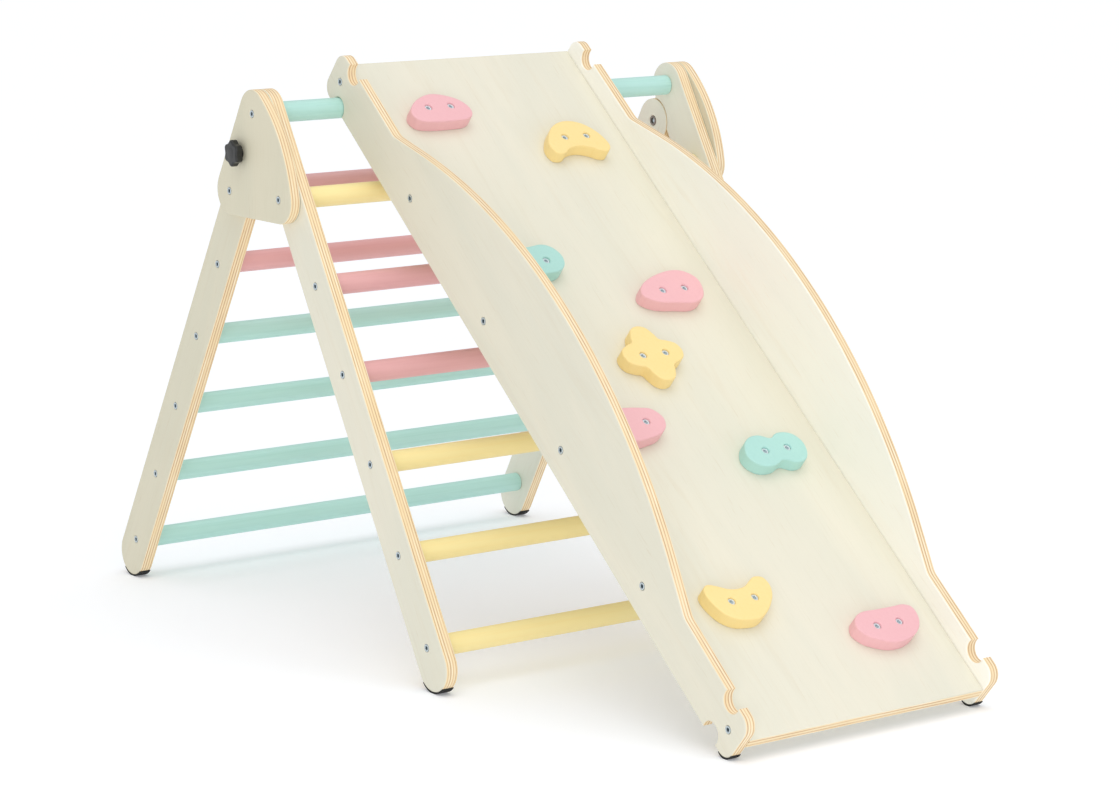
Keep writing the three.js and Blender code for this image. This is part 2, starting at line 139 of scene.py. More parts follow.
# ---- floor and light ----
FLOOR_HALF = 60000
FLOOR_GLOW = 0.19
FLOOR_GLOW_COLOUR = (0.96, 0.97, 1.0, 1.0)
SKY_STRENGTH = 0.64
OVERHEAD_STRENGTH = 1.0
OVERHEAD_FROM = (0.3, -0.05, 1.0)
OVERHEAD_SPREAD = 60
FRONT_POWER = 60
FRONT_FROM = (0.8, -0.6, 0.08)
FRONT_PLACE = (4.0, -3.0, 0.5)
FRONT_SIZE = 2.4

# ---- camera: its place in metres from the top rung's middle, and its angles in degrees ----
CAMERA_FROM_APEX = Vector((3.7796, -2.5754, 0.4312))
CAMERA_AZIMUTH = 54.33
CAMERA_ELEVATION = 10.59
CAMERA_ROLL = -0.22
CAMERA_LENS = 106.7
CAMERA_SENSOR = 36


# ---- outlines: lists of (x, y), anticlockwise round material and clockwise round a hole ----
def arc(centre, radius, start, end, step=5.0):
    """Points on an arc, in degrees. It runs clockwise where end is below start."""
    count = max(2, math.ceil(abs(end - start) / step))
    angles = [math.radians(start + (end - start) * i / count) for i in range(count + 1)]
    return [(centre[0] + radius * math.cos(a), centre[1] + radius * math.sin(a)) for a in angles]


def hole(centre, radius, count=24):
    """A round hole."""
    return arc(centre, radius, 360, 0, 360 / count)[:-1]


def hexagon_hole(radius):
    return hole((0, 0), radius, 6)


def unit(angle):
    return Vector((math.cos(math.radians(angle)), math.sin(math.radians(angle))))


def angle_of(vector):
    return math.degrees(math.atan2(vector[1], vector[0]))


def nearest_turn(angle, target):
    """The same direction, written within half a turn of target."""
    return angle + 360 * round((target - angle) / 360)


# ---- meshes ----
def finish_mesh(name, points, faces, matrix, material, smooth_faces=None):
    """Makes the object, in metres. Each vertex also keeps its place in the piece's own frame, which the
    material's grain follows. The first smooth_faces faces are smooth, or all of them."""
    mesh = bpy.data.meshes.new(name)
    own_places = [Vector(p) * MM for p in points]
    mesh.from_pydata([matrix @ p for p in own_places], [], faces)
    attribute = mesh.attributes.new("own_place", "FLOAT_VECTOR", "POINT")
    attribute.data.foreach_set("vector", [value for p in own_places for value in p])
    mesh.materials.append(material)
    smooth_count = len(faces) if smooth_faces is None else smooth_faces
    mesh.polygons.foreach_set("use_smooth", [i < smooth_count for i in range(len(faces))])
    mesh.validate()
    mesh.update()
    mesh.set_sharp_from_angle(angle=math.radians(SHARP_ANGLE))
    obj = bpy.data.objects.new(name, mesh)
    bpy.context.collection.objects.link(obj)
    if smooth_count:
        weighted = obj.modifiers.new("flat faces stay flat", "WEIGHTED_NORMAL")
        weighted.weight = 100
        weighted.keep_sharp = True
    return obj


def inset_loop(loop, distance):
    """The loop moved into the material, which lies on its left."""
    moved = []
    for i, point in enumerate(loop):
        before = Vector(point) - Vector(loop[i - 1])
        after = Vector(loop[(i + 1) % len(loop)]) - Vector(point)
        normal = Vector((-before.y, before.x)).normalized() + Vector((-after.y, after.x)).normalized()
        normal.normalize()
        lead = Vector((-before.y, before.x)).normalized()
        reach = distance / max(0.35, normal.dot(lead))
        moved.append((point[0] + normal.x * reach, point[1] + normal.y * reach))
    return moved


def rounded_profile(half, radius, bottom_radius, steps=4):
    """(inset, z) from the bottom face up to the top face, round both edges."""
    profile = []
    for i in range(steps + 1):
        turn = math.radians(90 * i / steps)
        profile.append((bottom_radius * (1 - math.sin(turn)), -half + bottom_radius * (1 - math.cos(turn))))
    for i in range(steps + 1):
        turn = math.radians(90 * i / steps)
        profile.append((radius * (1 - math.cos(turn)), half - radius + radius * math.sin(turn)))
    return profile


def board(name, loops, thickness, matrix, material, radius=BOARD_ROUND, bottom_radius=None):
    """A flat piece from its outer loop and its holes, with rounded edges."""
    half = thickness / 2
    bottom = radius if bottom_radius is None else bottom_radius
    points = []
    faces = []
    caps = [[], []]
    for loop in loops:
        rings = []
        for inset, z in rounded_profile(half, radius, bottom):
            ring = inset_loop(loop, inset)
            rings.append(range(len(points), len(points) + len(ring)))
            points += [(x, y, z) for x, y in ring]
        count = len(loop)
        for low, high in zip(rings, rings[1:]):
            for i in range(count):
                j = (i + 1) % count
                faces.append((low[i], low[j], high[j], high[i]))
        caps[0].append(list(rings[0]))
        caps[1].append(list(rings[-1]))
    side_faces = len(faces)
    for cap, upward in zip(caps, (False, True)):
        order = [index for ring in cap for index in ring]
        flat = [[Vector((points[i][0], points[i][1], 0)) for i in ring] for ring in cap]
        for a, b, c in tessellate_polygon(flat):
            p, q, r = (Vector(points[order[k]][:2]) for k in (a, b, c))
            if ((q - p).cross(r - p) > 0) != upward:
                b, c = c, b
            faces.append((order[a], order[b], order[c]))
    return finish_mesh(name, points, faces, matrix, material, side_faces)


def turned(name, profile, matrix, material, segments=48):
    """A turned piece about local Z, from a list of (radius, z). Radius 0 closes it with a point."""
    points = []
    rings = []
    for radius, z in profile:
        if radius == 0:
            rings.append([len(points)] * segments)
            points.append((0, 0, z))
        else:
            rings.append(list(range(len(points), len(points) + segments)))
            for i in range(segments):
                turn = 2 * math.pi * i / segments
                points.append((radius * math.cos(turn), radius * math.sin(turn), z))
    faces = []
    for low, high in zip(rings, rings[1:]):
        for i in range(segments):
            j = (i + 1) % segments
            faces.append(list(dict.fromkeys((low[i], low[j], high[j], high[i]))))
    return finish_mesh(name, points, faces, matrix, material)


def joined(name, pieces):
    """Several pieces as one object."""
    bpy.ops.object.select_all(action="DESELECT")
    for piece in pieces:
        piece.select_set(True)
    bpy.context.view_layer.objects.active = pieces[0]
    bpy.ops.object.join()
    result = bpy.context.view_layer.objects.active
    result.name = name
    result.data.name = name
    result.select_set(False)
    return result


# ---- places, worked out from the frame ----
def centre(node):
    low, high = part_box(node)
    return (Vector(low) + Vector(high)) / 2


def axes(x, y, z, origin):
    """A matrix from three axes and an origin in metres."""
    matrix = Matrix((x, y, z)).transposed().to_4x4()
    matrix.translation = origin
    return matrix


def board_frame(x, origin):
    """X down the board, Z towards -Y, as the left side is seen from outside."""
    z = Vector((0, -1, 0))
    return axes(x, z.cross(x), z, origin)


def outward_frame(side, origin):
    """Z out of the object on that side: -1 is left and 1 is right."""
    z = Vector((0, side, 0))
    x = Vector((0, 0, 1))
    return axes(x, z.cross(x), z, origin)


def along(matrix, x=0.0, y=0.0, z=0.0):
    """A point of a frame, given in millimetres."""
    return matrix @ (Vector((x, y, z)) * MM)


def shifted(matrix, x=0.0, y=0.0, z=0.0):
    moved = matrix.copy()
    moved.translation = along(matrix, x, y, z)
    return moved


apex = centre("top_rung")
front_down = (centre("front_rung_6") - apex).normalized()
rear_down = (centre("rear_rung_6") - apex).normalized()
front_ladder = board_frame(front_down, apex)
rear_ladder = board_frame(rear_down, apex)
LEAN = math.degrees(math.atan2(front_down.x, -front_down.z))

deck_low, deck_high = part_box("ramp_deck")
deck_width = (deck_high[1] - deck_low[1]) / MM
deck_run = (deck_high[0] - deck_low[0]) / MM
deck_drop = (deck_high[2] - deck_low[2]) / MM
slope = Vector((RAMP_LENGTH * deck_run - DECK_THICKNESS * deck_drop, 0,
                DECK_THICKNESS * deck_run - RAMP_LENGTH * deck_drop)).normalized()
ramp_middle = (Vector(deck_low) + Vector(deck_high)) / 2
ramp = board_frame(slope, ramp_middle)
ramp = shifted(ramp, -RAMP_LENGTH / 2)


# ---- materials ----
def srgb(red, green, blue):
    """A colour as seen on a screen, 0 to 255, as Blender's linear values."""
    values = [c / 255 for c in (red, green, blue)]
    return [v / 12.92 if v <= 0.04045 else ((v + 0.055) / 1.055) ** 2.4 for v in values] + [1.0]


class Nodes:
    """A short way to write a material's nodes."""

    def __init__(self, name):
        self.material = bpy.data.materials.new(name)
        self.material.use_nodes = True
        self.tree = self.material.node_tree
        self.shader = self.tree.nodes["Principled BSDF"]

    def add(self, kind, inputs=None, **settings):
        node = self.tree.nodes.new(kind)
        for key, value in settings.items():
            setattr(node, key, value)
        for key, value in (inputs or {}).items():
            if isinstance(value, bpy.types.NodeSocket):
                self.tree.links.new(value, node.inputs[key])
            else:
                node.inputs[key].default_value = value
        return node

    def math(self, operation, a, b=0.0):
        return self.add("ShaderNodeMath", {0: a, 1: b}, operation=operation).outputs[0]

    def noise(self, vector, scale, detail=2.0, roughness=0.5, distortion=0.0):
        node = self.add("ShaderNodeTexNoise", {
            "Vector": vector, "Scale": scale, "Detail": detail, "Roughness": roughness,
            "Distortion": distortion})
        return node.outputs["Fac"]

    def stretched(self, vector, x, y, z):
        node = self.add("ShaderNodeVectorMath", {0: vector, 1: (x, y, z)}, operation="MULTIPLY")
        return node.outputs[0]

    def smooth(self, value, low, high):
        node = self.add("ShaderNodeMapRange", {"Value": value, "From Min": low, "From Max": high},
                        interpolation_type="SMOOTHSTEP")
        return node.outputs["Result"]

    def blend(self, factor, a, b):
        """Colour a turning into colour b."""
        node = self.add("ShaderNodeMix", data_type="RGBA")
        for socket, value in ((node.inputs[0], factor), (node.inputs[6], a), (node.inputs[7], b)):
            if isinstance(value, bpy.types.NodeSocket):
                self.tree.links.new(value, socket)
            else:
                socket.default_value = value
        return node.outputs[2]

    def own_place(self):
        """Metres in the piece's own frame."""
        return self.add("ShaderNodeAttribute", attribute_name="own_place",
                        attribute_type="GEOMETRY").outputs["Vector"]

    def colour(self, value):
        self.link(value, "Base Color")

    def link(self, value, socket):
        if isinstance(value, bpy.types.NodeSocket):
            self.tree.links.new(value, self.shader.inputs[socket])
        else:
            self.shader.inputs[socket].default_value = value

    def bump(self, height, strength, distance):
        node = self.add("ShaderNodeBump", {"Height": height, "Strength": strength, "Distance": distance})
        self.link(node.outputs["Normal"], "Normal")


def plywood(name, thickness, plies):
    """Pale birch veneer on both faces, and striped plies on the edges. Local X is along the grain."""
    n = Nodes(name)
    place = n.own_place()
    seed = n.add("ShaderNodeAttribute", attribute_name="piece_seed", attribute_type="GEOMETRY")
    offset = n.add("ShaderNodeCombineXYZ", {"X": seed.outputs["Fac"], "Y": seed.outputs["Fac"]}).outputs[0]
    spot = n.add("ShaderNodeVectorMath", {0: place, 1: offset}, operation="ADD").outputs[0]

    cloud = n.noise(n.stretched(spot, 1.6, 7, 7), 1.6, 3, 0.55, 0.8)
    flame = n.noise(n.stretched(spot, 1.2, 16, 16), 2.4, 4, 0.6, 1.6)
    fibre = n.noise(n.stretched(spot, 14, 380, 380), 1.0, 3, 0.6)
    fleck = n.noise(n.stretched(spot, 30, 600, 600), 1.0, 1, 0.4)
    veneer = n.blend(n.smooth(cloud, 0.3, 0.72), VENEER_COOL, VENEER_WARM)
    veneer = n.blend(n.math("MULTIPLY", n.smooth(flame, 0.5, 0.8), 0.3), veneer, VENEER_FLAME)
    veneer = n.blend(n.math("MULTIPLY", n.smooth(fibre, 0.5, 0.85), 0.22), veneer, VENEER_FIBRE)
    veneer = n.blend(n.math("MULTIPLY", n.smooth(fleck, 0.68, 0.8), 0.2), veneer, VENEER_FLECK)

    # Each piece's tone scales the veneer's colour: mostly the board's own tone, and on the right wall and
    # right rails partly painted light.
    tone = n.add("ShaderNodeAttribute", attribute_name="piece_tone_and_painted_light", attribute_type="GEOMETRY")
    tint = n.add("ShaderNodeVectorMath", {0: TONE_RANGE, "Scale": tone.outputs["Fac"]}, operation="SCALE")
    tint = n.add("ShaderNodeVectorMath", {0: tint.outputs[0], 1: TONE_DEEP}, operation="ADD")
    veneer = n.add("ShaderNodeVectorMath", {0: veneer, 1: tint.outputs[0]}, operation="MULTIPLY").outputs[0]

    height = n.add("ShaderNodeSeparateXYZ", {"Vector": place}).outputs["Z"]
    waver = n.math("MULTIPLY", n.math("SUBTRACT", n.noise(n.stretched(spot, 9, 9, 40), 1.0, 2), 0.5), 0.7)
    layer = n.math("MULTIPLY", n.math("ADD", n.math("DIVIDE", height, thickness * MM), 0.5), plies)
    layer = n.math("ADD", layer, waver)
    index = n.math("FLOOR", layer)
    across = n.math("ABSOLUTE", n.math("SUBTRACT", n.math("FRACT", layer), 0.5))
    odd = n.math("PINGPONG", index, 1.0)
    streaks = n.add("ShaderNodeCombineXYZ", {"Z": n.math("MULTIPLY", index, 7.3)}).outputs[0]
    streaks = n.add("ShaderNodeVectorMath", {0: n.stretched(spot, 14, 14, 300), 1: streaks},
                    operation="ADD").outputs[0]
    wander = n.noise(streaks, 1.0, 3, 0.6)
    light = n.blend(n.smooth(wander, 0.4, 0.7), PLY_LIGHT, PLY_CREAM)
    dark = n.blend(n.smooth(wander, 0.38, 0.62), PLY_TAN, PLY_BROWN)
    stripes = n.blend(n.math("MULTIPLY", odd, n.smooth(across, 0.5, 0.2)), light, dark)
    glue = n.math("MULTIPLY", n.smooth(across, 0.4, 0.5), n.smooth(wander, 0.45, 0.6))
    stripes = n.blend(n.math("MULTIPLY", glue, 0.5), stripes, PLY_GLUE)
    near_face = n.math("SUBTRACT", n.math("ABSOLUTE", height), (thickness / 2 - VENEER_DEPTH) * MM)
    face = n.smooth(near_face, -VENEER_FADE * MM, VENEER_FADE * MM)
    n.colour(n.blend(face, stripes, veneer))
    n.link(n.add("ShaderNodeMapRange", {"Value": fibre, "To Min": 0.42, "To Max": 0.6}).outputs["Result"],
           "Roughness")
    n.shader.inputs["Specular IOR Level"].default_value = 0.4
    n.bump(n.math("ADD", fibre, n.math("MULTIPLY", fleck, 0.6)), 0.1, 0.0003)
    return n.material


def paint(name, base, shade, roughness=0.42):
    """Satin paint that lets a little of the wood's grain through. The grain runs along local Z."""
    n = Nodes(name)
    place = n.own_place()
    grain = n.noise(n.stretched(place, 220, 220, 5), 1.0, 3, 0.6)
    cloud = n.noise(n.stretched(place, 18, 18, 5), 1.0, 2, 0.5)
    peel = n.noise(place, 900, 1, 0.5)
    colour = n.blend(n.math("MULTIPLY", n.smooth(grain, 0.42, 0.72), 0.4), base, shade)
    colour = n.blend(n.math("MULTIPLY", n.smooth(cloud, 0.4, 0.7), 0.22), colour, shade)
    n.colour(colour)
    n.link(n.add("ShaderNodeMapRange", {"Value": grain, "To Min": roughness - 0.05,
                                        "To Max": roughness + 0.08}).outputs["Result"], "Roughness")
    n.bump(n.math("ADD", n.math("MULTIPLY", grain, 0.7), n.math("MULTIPLY", peel, 0.3)), 0.1, 0.0004)
    return n.material


def plastic(name, base, roughness, texture_scale, strength):
    n = Nodes(name)
    place = n.own_place()
    pebble = n.noise(place, texture_scale, 2, 0.5)
    wear = n.noise(place, 120, 3, 0.6)
    worn = [min(1.0, c * 2.2 + 0.004) for c in base[:3]] + [1.0]
    n.colour(n.blend(n.math("MULTIPLY", wear, 0.35), base, worn))
    n.link(n.add("ShaderNodeMapRange", {"Value": wear, "To Min": roughness - 0.06,
                                        "To Max": roughness + 0.1}).outputs["Result"], "Roughness")
    n.bump(pebble, strength, 0.0003)
    return n.material


def metal(name, base, roughness):
    n = Nodes(name)
    place = n.own_place()
    cloud = n.noise(place, 500, 3, 0.6)
    n.colour(n.blend(n.math("MULTIPLY", cloud, 0.5), base, [c * 0.72 for c in base[:3]] + [1.0]))
    n.link(n.add("ShaderNodeMapRange", {"Value": cloud, "To Min": roughness - 0.08,
                                        "To Max": roughness + 0.12}).outputs["Result"], "Roughness")
    n.shader.inputs["Metallic"].default_value = 0.9
    n.bump(cloud, 0.08, 0.0002)
    return n.material


VENEER_WARM = srgb(236, 231, 212)
VENEER_COOL = srgb(230, 227, 209)
VENEER_FLAME = srgb(224, 214, 190)
VENEER_FIBRE = srgb(219, 212, 189)
VENEER_FLECK = srgb(208, 190, 156)
PLY_LIGHT = srgb(246, 224, 182)
PLY_CREAM = srgb(253, 240, 212)
PLY_TAN = srgb(233, 201, 156)
PLY_BROWN = srgb(208, 168, 124)
PLY_GLUE = srgb(184, 142, 100)
VENEER_DEPTH = 0.9  # how far down a rounded edge the face veneer reaches, in millimetres
VENEER_FADE = 0.1
TONE_DEEP = (0.77, 0.74, 0.63)  # multiplies the veneer's colour at tone 0
TONE_RANGE = (0.445, 0.51, 0.75)  # what tone 1 adds to it

rail_plywood = plywood("rail plywood", RAIL_THICKNESS, 9)
wall_plywood = plywood("wall plywood", WALL_THICKNESS, 7)
deck_plywood = plywood("deck plywood", DECK_THICKNESS, 5)
turquoise = paint("turquoise paint", srgb(188, 230, 222), srgb(170, 217, 207))
pink = paint("pink paint", srgb(235, 180, 182), srgb(227, 167, 170))
yellow = paint("yellow paint", srgb(255, 238, 174), srgb(255, 230, 156))
hold_turquoise = paint("turquoise hold paint", srgb(178, 224, 216), srgb(171, 219, 210), 0.5)
hold_pink = paint("pink hold paint", srgb(243, 188, 193), srgb(239, 181, 187), 0.5)
hold_yellow = paint("yellow hold paint", srgb(253, 226, 156), srgb(251, 221, 146), 0.5)
black = plastic("black plastic", srgb(27, 28, 27), 0.3, 1800, 0.2)
rubber = plastic("rubber", srgb(26, 26, 26), 0.85, 1200, 0.5)
zinc = metal("zinc plating", srgb(204, 215, 220), 0.42)
bright_zinc = metal("bright zinc plating", srgb(232, 240, 244), 0.5)
# The two socket materials colour the disc at the bottom of each screw's hex socket darker than the head:
# painted shade.
socket_painted_shade = metal("socket painted shade", srgb(58, 78, 88), 0.6)
socket_grey_painted_shade = metal("grey socket painted shade", srgb(190, 203, 208), 0.6)
steel = metal("insert steel", srgb(150, 140, 132), 0.42)


# ---- what a finished piece still needs ----
piece_count = 0


def settle(piece, body, slot, *nodes, tone=0.5):
    """Gives the piece its own stretch of grain, its veneer's tone from 0, deep, to 1, pale, its body and
    the nodes it stands for. The argument slot is not used."""
    global piece_count
    piece_count += 1
    # The tone is the board's own tone, and on some pieces also painted light.
    for name, value in (("piece_seed", piece_count * 0.731 % 5), ("piece_tone_and_painted_light", tone)):
        attribute = piece.data.attributes.new(name, "FLOAT", "POINT")
        attribute.data.foreach_set("value", [value] * len(piece.data.vertices))
    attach(piece, body)
    if nodes:
        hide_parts(*nodes)
    return piece


SIDES = (("left", -1), ("right", 1))


def face_y(side, from_outside):
    """Metres along Y of a plane that far inside the ladders' outer faces."""
    return side * (LADDER_WIDTH / 2 - from_outside) * MM


# ---- rails ----
FOOT_ARC = arc((RAIL_RUN, 0), RAIL_RADIUS, -90, 90)


def front_rail_outline():
    """The rear edge is hollowed where the rear rail's round top nests."""
    lock_x = LOCK_RADIUS * math.cos(math.radians(2 * LEAN))
    lock_y = -LOCK_RADIUS * math.sin(math.radians(2 * LEAN))
    rise = -RAIL_RADIUS - lock_y
    lip = math.degrees(math.asin(rise / NEST_RADIUS))
    nest = arc((lock_x, lock_y), NEST_RADIUS, 180 - lip, lip, 3)
    return FOOT_ARC + arc((0, 0), RAIL_RADIUS, 90, 270) + nest


def rear_rail_outline():
    return FOOT_ARC + arc((LOCK_RADIUS, 0), RAIL_RADIUS, 90, 270)


# The right rails, whose inner faces are seen, get paler tones: partly the boards' own tone, partly painted
# light on those inner faces.
RAIL_TONES_AND_PAINTED_LIGHT = {("front_ladder", "left"): 0.45, ("front_ladder", "right"): 0.55,
              ("rear_ladder", "left"): 0.25, ("rear_ladder", "right"): 0.6}


def add_rails(ladder, body, outline):
    """Both rails, with a bored seat for each rung screw and, on the rear ladder, for the insert."""
    steps = range(FIRST_FACE_SCREW, LOWEST_RUNG + 1)
    bores = [hole((step * RUNG_SPACING, 0), SCREW_SEAT) for step in steps]
    if body == "rear_ladder":
        bores.append(hole((LOCK_RADIUS, 0), INSERT_RADIUS + GAP))
    for name, side in SIDES:
        place = ladder.copy()
        place.translation.y = face_y(side, RAIL_THICKNESS / 2)
        node = f"{body.split('_')[0]}_rail_{name}"
        rail = board(f"{node}_ply", [outline] + bores, RAIL_THICKNESS, place, rail_plywood)
        settle(rail, body, "birch_plywood", node, tone=RAIL_TONES_AND_PAINTED_LIGHT[body, name])


add_rails(front_ladder, "front_ladder", front_rail_outline())
add_rails(rear_ladder, "rear_ladder", rear_rail_outline())


# ---- rungs ----
def add_rung(node, body, material, slot):
    """A dowel with rounded ends."""
    half = LADDER_WIDTH / 2 - RAIL_THICKNESS - GAP
    inset = RUNG_EDGE * 0.3
    end = [(0, half), (RUNG_RADIUS - RUNG_EDGE, half), (RUNG_RADIUS - inset, half - inset),
           (RUNG_RADIUS, half - RUNG_EDGE)]
    profile = [(radius, -z) for radius, z in end] + end[::-1]
    rung = turned(f"{node}_dowel", profile, outward_frame(1, centre(node)), material)
    settle(rung, body, slot, node)


RUNG_PAINT = {"turquoise": (turquoise, "turquoise_paint"), "pink": (pink, "pink_paint"),
              "yellow": (yellow, "yellow_paint")}
FRONT_COLOURS = ("turquoise", "yellow", "pink", "pink", "yellow", "yellow", "yellow")
REAR_COLOURS = ("pink", "pink", "turquoise", "turquoise", "turquoise", "turquoise")
for step, colour in enumerate(FRONT_COLOURS):
    add_rung(f"front_rung_{step}" if step else "top_rung", "front_ladder", *RUNG_PAINT[colour])
for step, colour in enumerate(REAR_COLOURS, 1):
    add_rung(f"rear_rung_{step}", "rear_ladder", *RUNG_PAINT[colour])


# ---- screws: local Z points out of the hole, and the head's top is at z = 0 ----
def hex_screw(name, place, length, finish, socket):
    """A flat round head with a hexagonal socket, and a plain shank."""
    rim = arc((0, 0), SCREW_HEAD, 0, 360, 15)[:-1]
    head = board(f"{name}_head", [rim, hexagon_hole(SCREW_SOCKET)], HEAD_HEIGHT,
                 shifted(place, z=-HEAD_HEIGHT / 2), finish, SCREW_EDGE)
    # The socket's floor is a disc in a darker socket material: painted shade at the bottom of the socket.
    floor_radius = SCREW_SOCKET + SOCKET_RIM
    floor_bottom = -SOCKET_DEPTH - SOCKET_FLOOR
    floor = turned(f"{name}_floor", [(0, floor_bottom), (floor_radius, floor_bottom),
                                     (floor_radius, -SOCKET_DEPTH), (0, -SOCKET_DEPTH)], place, socket, 12)
    shank = turned(f"{name}_shank", [(0, -length), (SCREW_TIP, -length),
                                     (SCREW_SHANK, -length + SCREW_TIP_LENGTH),
                                     (SCREW_SHANK, -SHANK_START), (0, -SHANK_START)], place, finish, 16)
    return joined(name, [head, floor, shank])


def add_screw(name, body, place, length, *nodes, finish=zinc, socket=socket_painted_shade):
    screw = hex_screw(name, place, length, finish, socket)
    settle(screw, body, "zinc", *nodes)


for name, side in SIDES:
    outer = face_y(side, 0)
    for step in range(FIRST_FACE_SCREW, LOWEST_RUNG + 1):
        for ladder, body in ((front_ladder, "front_ladder"), (rear_ladder, "rear_ladder")):
            spot = along(ladder, step * RUNG_SPACING)
            spot.y = outer
            node = f"{body.split('_')[0]}_rung_{step}_screw_{name}"
            stands_for = [node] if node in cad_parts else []
            length = RAIL_THICKNESS + SHANK_IN_RUNG
            add_screw(f"{node}_zinc", body, outward_frame(side, spot), length, *stands_for)


# ---- gussets ----
def gusset_outline():
    """A rounded triangle round the top rung, the first front rung and the pivot, in X and Z from the top
    rung, with an arc slot about the pivot that lets the lock stud swing out of the rear side."""
    up_rail = 90 - LEAN
    outward = up_rail + 90
    corner = -RUNG_SPACING * unit(up_rail).x, -RUNG_SPACING * unit(up_rail).y
    pivot = Vector(corner)
    front = Vector((-corner[0], corner[1]))
    lock = pivot * (LOCK_RADIUS / RUNG_SPACING)
    reach = math.sqrt((GUSSET_BULGE - GUSSET_CORNER) ** 2 - (RUNG_SPACING / 2) ** 2)
    bulge = front / 2 - Vector((math.cos(math.radians(LEAN)), math.sin(math.radians(LEAN)))) * reach
    start = nearest_turn(angle_of(front - bulge), 0)
    end = nearest_turn(angle_of(-bulge), 0)
    slot = STUD_RADIUS + GAP
    outer = LOCK_RADIUS + slot
    inner = LOCK_RADIUS - slot
    outline = arc(pivot, GUSSET_CORNER, outward, 270)
    outline += arc(front, GUSSET_CORNER, -90, start)
    outline += arc(bulge, GUSSET_BULGE, start, end, 1.5)[1:-1]
    outline += arc((0, 0), GUSSET_CORNER, end, outward)
    outline += arc(pivot, outer, up_rail + math.degrees(math.asin(GUSSET_CORNER / outer)), up_rail)
    outline += arc(lock, slot, up_rail, up_rail - 180, 15)[1:-1]
    outline += arc(pivot, inner, up_rail, up_rail + math.degrees(math.asin(GUSSET_CORNER / inner)))
    return outline, pivot, front


gusset_loop, pivot_spot, front_spot = gusset_outline()
gusset_frame = board_frame(Vector((0, 0, -1)), apex)


def turned_down(points):
    """From X and Z to a gusset board's own axes, whose X points down."""
    return [(-z, x) for x, z in points]


GUSSET_SCREWS = (("top_rung_screw", Vector((0, 0))), ("front_rung_1_screw", front_spot),
                 ("pivot_screw", pivot_spot))
gusset_bores = [hole(turned_down([spot])[0], SCREW_SEAT) for _, spot in GUSSET_SCREWS]
for name, side in SIDES:
    place = gusset_frame.copy()
    place.translation.y = face_y(side, -GAP - GUSSET_THICKNESS / 2)
    gusset = board(f"gusset_{name}_ply", [turned_down(gusset_loop)] + gusset_bores, GUSSET_THICKNESS, place,
                   wall_plywood)
    settle(gusset, "front_ladder", "birch_plywood", f"gusset_{name}", tone=0.2)
    for screw_name, spot in GUSSET_SCREWS:
        point = apex + Vector((spot.x, 0, spot.y)) * MM
        point.y = face_y(side, -GAP - GUSSET_THICKNESS)
        add_screw(f"{screw_name}_{name}_zinc", "front_ladder", outward_frame(side, point),
                  GUSSET_THICKNESS + RAIL_THICKNESS + SHANK_IN_RUNG, f"{screw_name}_{name}")


# ---- lock knobs, studs and inserts ----
def lobed(radius, lobe, count=96):
    turns = [2 * math.pi * i / count for i in range(count)]
    return [((radius + lobe * math.cos(KNOB_LOBES * t)) * math.cos(t),
             (radius + lobe * math.cos(KNOB_LOBES * t)) * math.sin(t)) for t in turns]


for name, side in SIDES:
    point = along(rear_ladder, LOCK_RADIUS)
    point.y = face_y(side, -2 * GAP - GUSSET_THICKNESS)
    place = outward_frame(side, point)
    star = board(f"knob_{name}_star", [lobed(KNOB_RADIUS, KNOB_LOBE)], KNOB_HEIGHT,
                 shifted(place, z=HUB_HEIGHT + KNOB_HEIGHT / 2), black, KNOB_TOP_EDGE, KNOB_BOTTOM_EDGE)
    hub_top = HUB_HEIGHT + HUB_OVERLAP
    hub = turned(f"knob_{name}_hub", [(0, 0), (HUB_RADIUS - 1, 0), (HUB_RADIUS, hub_top), (0, hub_top)],
                 place, black)
    top = HUB_HEIGHT + KNOB_HEIGHT
    cap = turned(f"knob_{name}_cap", [(0, top - 1), (CAP_RADIUS, top - 1), (CAP_RADIUS, top),
                                      (CAP_INNER_RADIUS, top + 0.3), (0, top + CAP_RISE)], place, black)
    settle(joined(f"knob_{name}_plastic", [star, hub, cap]), f"knob_{name}", "black_knob", f"knob_{name}")
    stud_end = -GUSSET_THICKNESS - RAIL_THICKNESS + STUD_SHORT_OF_RAIL
    stud = turned(f"knob_stud_{name}_zinc", [(0, stud_end), (STUD_RADIUS - STUD_CHAMFER, stud_end),
                                             (STUD_RADIUS, stud_end + STUD_CHAMFER),
                                             (STUD_RADIUS, HUB_HEIGHT), (0, HUB_HEIGHT)], place, zinc)
    settle(stud, f"knob_{name}", "zinc", f"knob_stud_{name}")
    seat = point.copy()
    seat.y = face_y(side, 0)
    bore = STUD_RADIUS + GAP
    chamfered = INSERT_RADIUS - INSERT_CHAMFER
    insert = turned(f"insert_{name}_steel", [(bore, -RAIL_THICKNESS), (chamfered, -RAIL_THICKNESS),
                                             (INSERT_RADIUS, -RAIL_THICKNESS + INSERT_CHAMFER),
                                             (INSERT_RADIUS, -INSERT_CHAMFER), (chamfered, 0),
                                             (bore, 0), (bore, -RAIL_THICKNESS)],
                    outward_frame(side, seat), steel)
    settle(insert, "rear_ladder", "zinc", f"insert_{name}")


